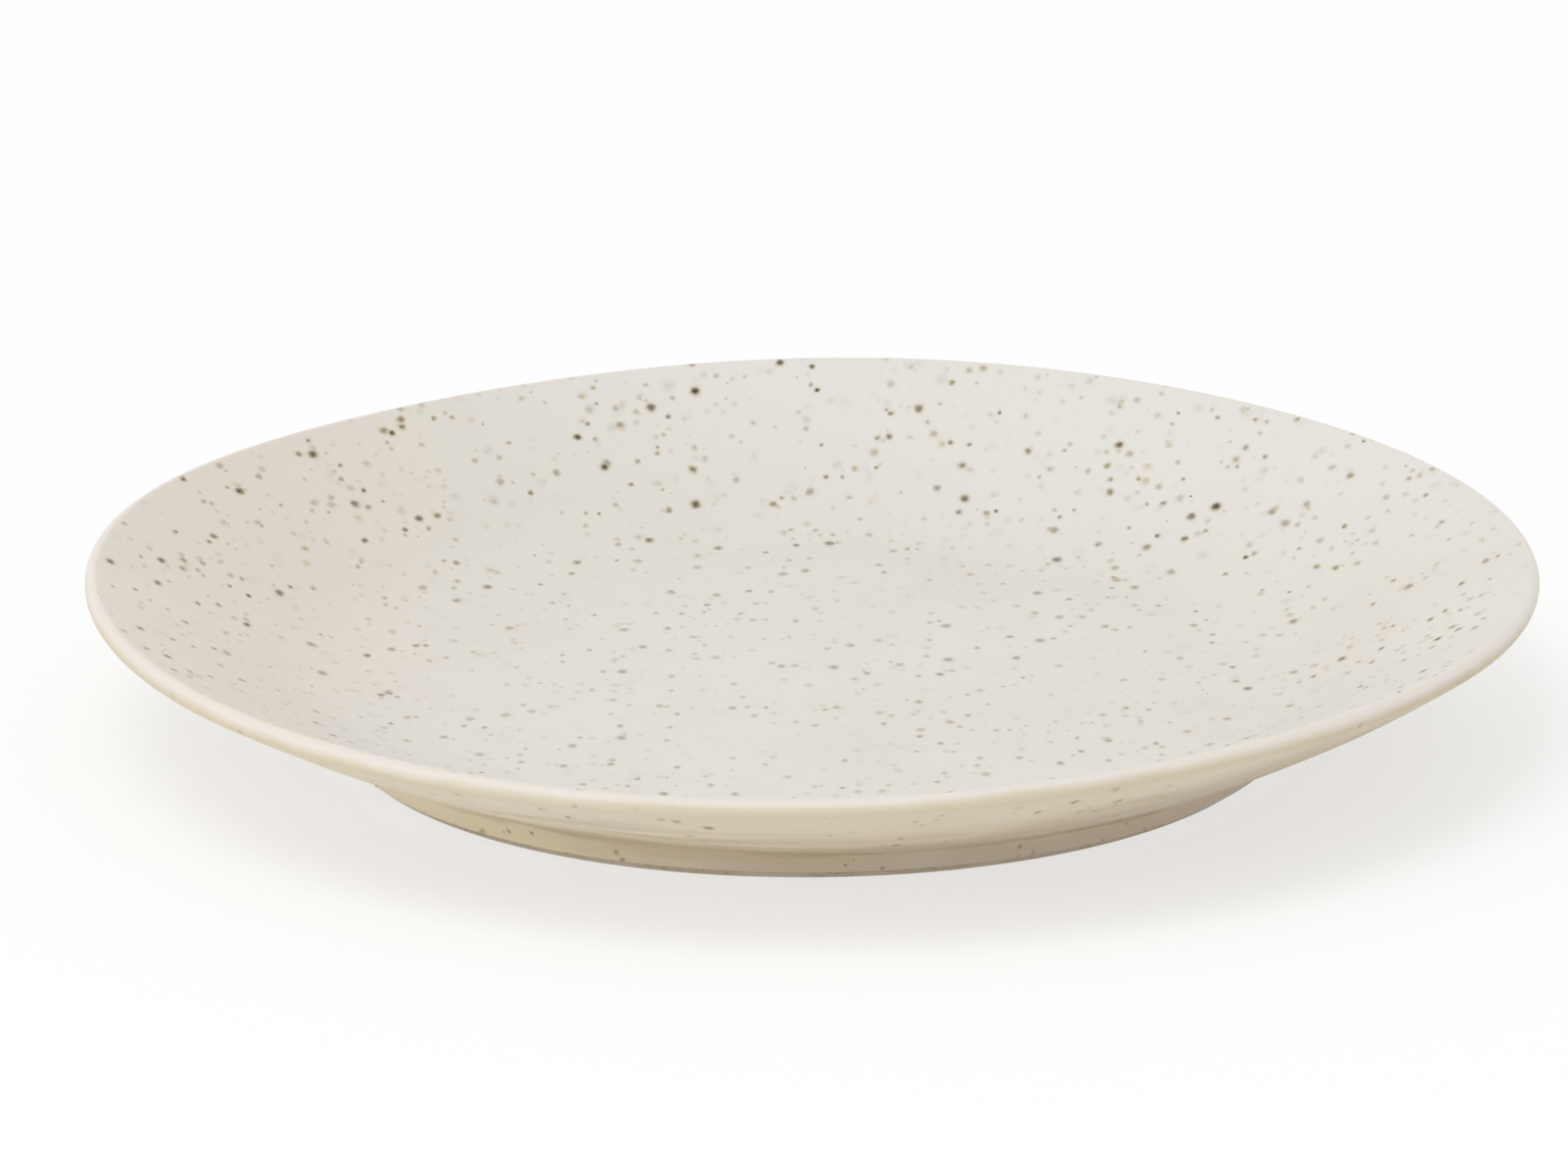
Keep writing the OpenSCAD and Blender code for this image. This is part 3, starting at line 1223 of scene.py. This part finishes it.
@dataclass(frozen=True)
class BareClayFinish:
    """Matt fired clay with fine grains.

    Attributes:
        name: Name of the material.
        ground: Colour of the clay.
        dark: Colour of its darker grains.
        pale: Colour of its paler patches.
        roughness: Roughness of the clay.
    """

    # Size of the grains in millimetres, their fineness and its weight
    GRAIN = (0.5, 3.0, 0.7)
    # Size of the pale patches in millimetres
    PATCH_SIZE = 8.0
    # Where the noise starts to count as dark grains or pale patches, and where they are full
    DARK_EDGE = (0.5, 0.72)
    PALE_EDGE = (0.45, 0.7)
    # Range of the grain over which the roughness changes, by how much, and the relief in millimetres
    ROUGH_EDGE = (0.2, 0.8)
    ROUGH_CHANGE = 0.08
    RELIEF = 0.06

    name: str
    ground: Colour
    dark: Colour
    pale: Colour
    roughness: float

    def make(self) -> bpy.types.Material:
        """Builds the material.

        Returns:
            The new material.
        """
        material, graph, shader = new_material(self.name)
        place = graph.place()
        grain = graph.noise(place, *self.GRAIN)
        colour = graph.mix(graph.ramp(grain, *self.DARK_EDGE), self.ground, self.dark)
        patch = graph.ramp(graph.noise(place, self.PATCH_SIZE), *self.PALE_EDGE)
        rough = (self.roughness - self.ROUGH_CHANGE, self.roughness + self.ROUGH_CHANGE)
        graph.feed(shader, {"Base Color": graph.mix(patch, colour, self.pale),
                            "Roughness": graph.ramp(grain, *self.ROUGH_EDGE, *rough),
                            "Normal": graph.bump(graph.math("MULTIPLY", grain, self.RELIEF))})
        return material


# Colour of the paler lip band: partly thicker glaze on the crest, partly a painted highlight
LIP_GLAZE_AND_HIGHLIGHT = linear(226, 220, 211)
FACE_GLAZE = GlazeFinish(
    "face_glaze", GlazeGround(linear(219, 215, 206), linear(218, 212, 202), linear(218, 216, 209)),
    FACE_SPECKS, GlazeSkin(0.36), veil=0.5, drawn=1.35,
    # Painted shade: the face turns darker and warmer towards the left wall
    drifts=(Drift(level_direction(180), 22, 64, 10, linear(218, 209, 198)),
            # Painted light: the face turns lighter and cooler towards the back-right wall
            Drift(level_direction(65), 34, 66, 8, linear(222, 218, 212))),
    # Painted highlight: on the face's side, the paler lip band shows only at the front of the rim
    lip=LipBandAndHighlight(LIP_GLAZE_AND_HIGHLIGHT, level_direction(-105), 1.3, -0.6))
# Painted light and shade on the foot: the thin glaze is lighter than the wall on the left and darker
# towards the right
FOOT_DIP = DipLine(
    3.25, pale=linear(229, 216, 188), streak=linear(178, 160, 128),
    right_shade=Drift(level_direction(0), -40, -8, 10, linear(203, 187, 161)),
    base=Drift(level_direction(0), -32, -2, 10, linear(204, 192, 175)))
OUTER_GLAZE = GlazeFinish(
    # Ground darker and warmer than the face's same glaze: painted shade, with some thinner glaze
    "outer_glaze", GlazeGround(linear(212, 201, 176), linear(213, 199, 170), linear(211, 203, 180)),
    OUTER_SPECKS, GlazeSkin(0.39), gloss=0.22, runs=True,
    drifts=(Drift(DOWN, -14, -7, 3, linear(216, 200, 168)),
            # Painted shade: these two drifts darken the lower wall and the foot towards the right and
            # front
            Drift((0.216, -0.125, -0.968), 0.5, 4.5, 3, linear(190, 174, 145)),
            Drift((0.24, -0.06, -0.969), 2.6, 5.6, 3, linear(174, 155, 122))),
    # Partly painted highlight: the paler lip band, a little narrower at the front
    lip=LipBandAndHighlight(LIP_GLAZE_AND_HIGHLIGHT, level_direction(-86), 1.0, 1.28), dip=FOOT_DIP)
RECESS_GLAZE = GlazeFinish(
    "recess_glaze", GlazeGround(linear(206, 196, 174), linear(200, 186, 160), linear(207, 199, 181)),
    OUTER_SPECKS, GlazeSkin(0.4))
BARE_CLAY = BareClayFinish(
    "bare_stoneware", ground=linear(188, 175, 156), dark=linear(160, 145, 124),
    pale=linear(197, 185, 167), roughness=0.85)


@dataclass
class Plate:
    """The plate's four pieces, built on one form and dressed.

    Attributes:
        form: The plate's form.
    """

    form: PlateForm

    def clay(self) -> bpy.types.Object:
        """Builds the fired clay under the coats, bare on its resting ring.

        Returns:
            The new object.
        """
        form, depth = self.form, self.form.glaze_t
        stretches = [Stretch(form.face_path(depth)), Stretch(form.outer_path(depth)),
                     Stretch(form.ring_path(), Layout.SHOWN), Stretch(form.recess_path(depth))]
        return TurnedPiece("stoneware_clay", form, stretches).build()

    def face_coat(self) -> bpy.types.Object:
        """Glaze over the well, the wall and the inner half of the lip."""
        shown, under = self.form.face_path(0.0), self.form.face_path(self.form.glaze_t)[::-1]
        return self.coat("face_glaze_coat", Stretch(shown, Layout.SHOWN), Stretch(under))

    def outer_coat(self) -> bpy.types.Object:
        """Glaze from the lip's crest down the outside of the foot."""
        shown, under = self.form.outer_path(0.0), self.form.outer_path(self.form.glaze_t)[:, ::-1]
        return self.coat("outer_glaze_coat", Stretch(shown, Layout.SHOWN), Stretch(under), capped=False)

    def recess_coat(self) -> bpy.types.Object:
        """Glaze in the recess under the plate."""
        shown, under = self.form.recess_path(0.0), self.form.recess_path(self.form.glaze_t)[::-1]
        return self.coat("recess_glaze_coat", Stretch(under), Stretch(shown, Layout.SHOWN))

    def coat(self, name: str, *stretches: Stretch, capped: bool = True) -> bpy.types.Object:
        """Builds a coat from its outer and inner stretches, in the order that keeps its outside out."""
        return TurnedPiece(name, self.form, list(stretches), capped).build()

    def build(self) -> None:
        """Builds and dresses every piece, puts it under the plate's body and hides the solid that it
        replaces.
        """
        rows = ((self.clay, "stoneware_body", "bare_stoneware", BARE_CLAY),
                (self.face_coat, "face_glaze", "face_glaze", FACE_GLAZE),
                (self.outer_coat, "outer_glaze", "outer_glaze", OUTER_GLAZE),
                (self.recess_coat, "recess_glaze", "recess_glaze", RECESS_GLAZE))
        for make, node, slot, finish in rows:
            piece = make()
            piece.data.materials.append(finish.make())
            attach(piece, BODY)
            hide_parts(node)
            LOG.info("%s: %d faces, replaces %s", piece.name, len(piece.data.polygons), node)


@dataclass(frozen=True)
class PhotoCamera:
    """A camera at the photograph's place.

    Attributes:
        elevation: Height of the view above level, in degrees.
        roll: Roll in degrees that lifts the picture's right side.
        distance: Distance from the origin in millimetres.
        px_per_mm: Scale at the origin in the photograph's pixels.
        origin_px: Where the origin lies in the photograph.
        frame_px: Size of the photograph.
        sensor: Width of the sensor in millimetres.
        farthest: Distance in metres to which the camera sees.
    """

    elevation: float = 18.0
    roll: float = 0.38
    distance: float = 1500.0
    px_per_mm: float = 9.85
    origin_px: tuple[float, float] = (829.7, 748.8)
    frame_px: tuple[int, int] = (1600, 1200)
    sensor: float = 36.0
    farthest: float = 20.0

    def build(self) -> None:
        """Places the camera and makes it the scene's own."""
        lift, roll = math.radians(self.elevation), math.radians(self.roll)
        back = Vector((0, -math.cos(lift), math.sin(lift)))
        level = Vector((1, 0, 0))
        upright = back.cross(level)
        right = level * math.cos(roll) - upright * math.sin(roll)
        up = level * math.sin(roll) + upright * math.cos(roll)
        across = (self.frame_px[0] / 2 - self.origin_px[0]) / self.px_per_mm
        above = (self.origin_px[1] - self.frame_px[1] / 2) / self.px_per_mm
        eye = back * self.distance
        target = right * across + up * above
        away = (eye - target).normalized()
        side = up.cross(away).normalized()
        turned = Matrix((side, away.cross(side), away)).transposed().to_4x4()
        data = bpy.data.cameras.new("camera")
        data.sensor_width = self.sensor
        data.lens = self.px_per_mm * self.distance * self.sensor / self.frame_px[0]
        data.clip_end = self.farthest
        camera = bpy.data.objects.new("camera", data)
        camera.matrix_world = Matrix.Translation(eye * MM) @ turned
        bpy.context.scene.collection.objects.link(camera)
        bpy.context.scene.camera = camera


@dataclass(frozen=True)
class SoftLamp:
    """A large soft white lamp that looks at the plate.

    Attributes:
        name: Name of the lamp.
        place: Place in metres.
        size: Width in metres.
        power: Power in watts.
    """

    name: str
    place: tuple[float, float, float]
    size: float
    power: float

    def build(self) -> None:
        """Hangs the lamp."""
        data = bpy.data.lights.new(self.name, "AREA")
        data.size = self.size
        data.energy = self.power
        lamp = bpy.data.objects.new(self.name, data)
        spot = Vector(self.place)
        lamp.matrix_world = Matrix.Translation(spot) @ spot.to_track_quat("Z", "Y").to_matrix().to_4x4()
        bpy.context.scene.collection.objects.link(lamp)


@dataclass(frozen=True)
class Studio:
    """A pale floor, a plain pale surround and soft lamps.

    Attributes:
        floor_size: Width of the floor in metres.
        floor_colour: Colour of the floor.
        glow: Light that the floor gives, as a lit table does.
        haze: Share of plain white that the camera and reflections see over the floor.
        surround: Strength of the light from all round.
        lamps: The lamps.
    """

    floor_size: float = 6.0
    floor_colour: Colour = (0.62, 0.62, 0.62, 1.0)
    glow: float = 0.36
    haze: float = 0.45
    surround: float = 0.74
    lamps: tuple[SoftLamp, ...] = (SoftLamp("key_lamp", (-0.8, -1.35, 3.1), 1.8, 39.0),
                                   SoftLamp("side_lamp", (-3.15, -1.35, 0.3), 1.2, 13.0))

    def build(self) -> None:
        """Builds the floor, the surround and the lamps."""
        self.lay_floor()
        self.light_surround()
        for lamp in self.lamps:
            lamp.build()
        bpy.context.scene.view_settings.view_transform = "Standard"

    def lay_floor(self) -> None:
        """Lays a floor that reads as white and keeps the plate's shadow."""
        half = self.floor_size / 2
        mesh = bpy.data.meshes.new("floor")
        corners = [(-half, -half, 0), (half, -half, 0), (half, half, 0), (-half, half, 0)]
        mesh.from_pydata(corners, [], [(0, 1, 2, 3)])
        floor = bpy.data.objects.new("floor", mesh)
        bpy.context.scene.collection.objects.link(floor)
        material, graph, shader = new_material("floor")
        material.node_tree.nodes.remove(shader)
        cloth = graph.node("BsdfDiffuse", {"Color": self.floor_colour}).outputs[0]
        glow = graph.node("Emission", {"Strength": self.glow}).outputs[0]
        lit = graph.node("AddShader", {0: cloth, 1: glow}).outputs[0]
        white = graph.node("Emission").outputs[0]
        haze = graph.math("MULTIPLY", graph.seen_ray(), self.haze)
        seen = graph.node("MixShader", {0: haze, 1: lit, 2: white}).outputs[0]
        graph.feed(material.node_tree.nodes["Material Output"], {"Surface": seen})
        mesh.materials.append(material)

    def light_surround(self) -> None:
        """Sets a plain pale surround, white where the camera or a reflection sees it."""
        world = bpy.data.worlds.new("surround")
        world.use_nodes = True
        graph = Graph(world.node_tree)
        strength = graph.mix(graph.seen_ray(), self.surround, 1.0, Mixed.VALUES)
        white = (1.0, 1.0, 1.0, 1.0)
        graph.feed(world.node_tree.nodes["Background"], {"Color": white, "Strength": strength})
        bpy.context.scene.world = world


def main() -> None:
    """Builds the camera, the plate and the studio in order."""
    logging.basicConfig(level=logging.INFO, format="%(name)s: %(message)s")
    PhotoCamera().build()
    Plate(PlateForm()).build()
    Studio().build()


if __name__ == "__main__":
    main()
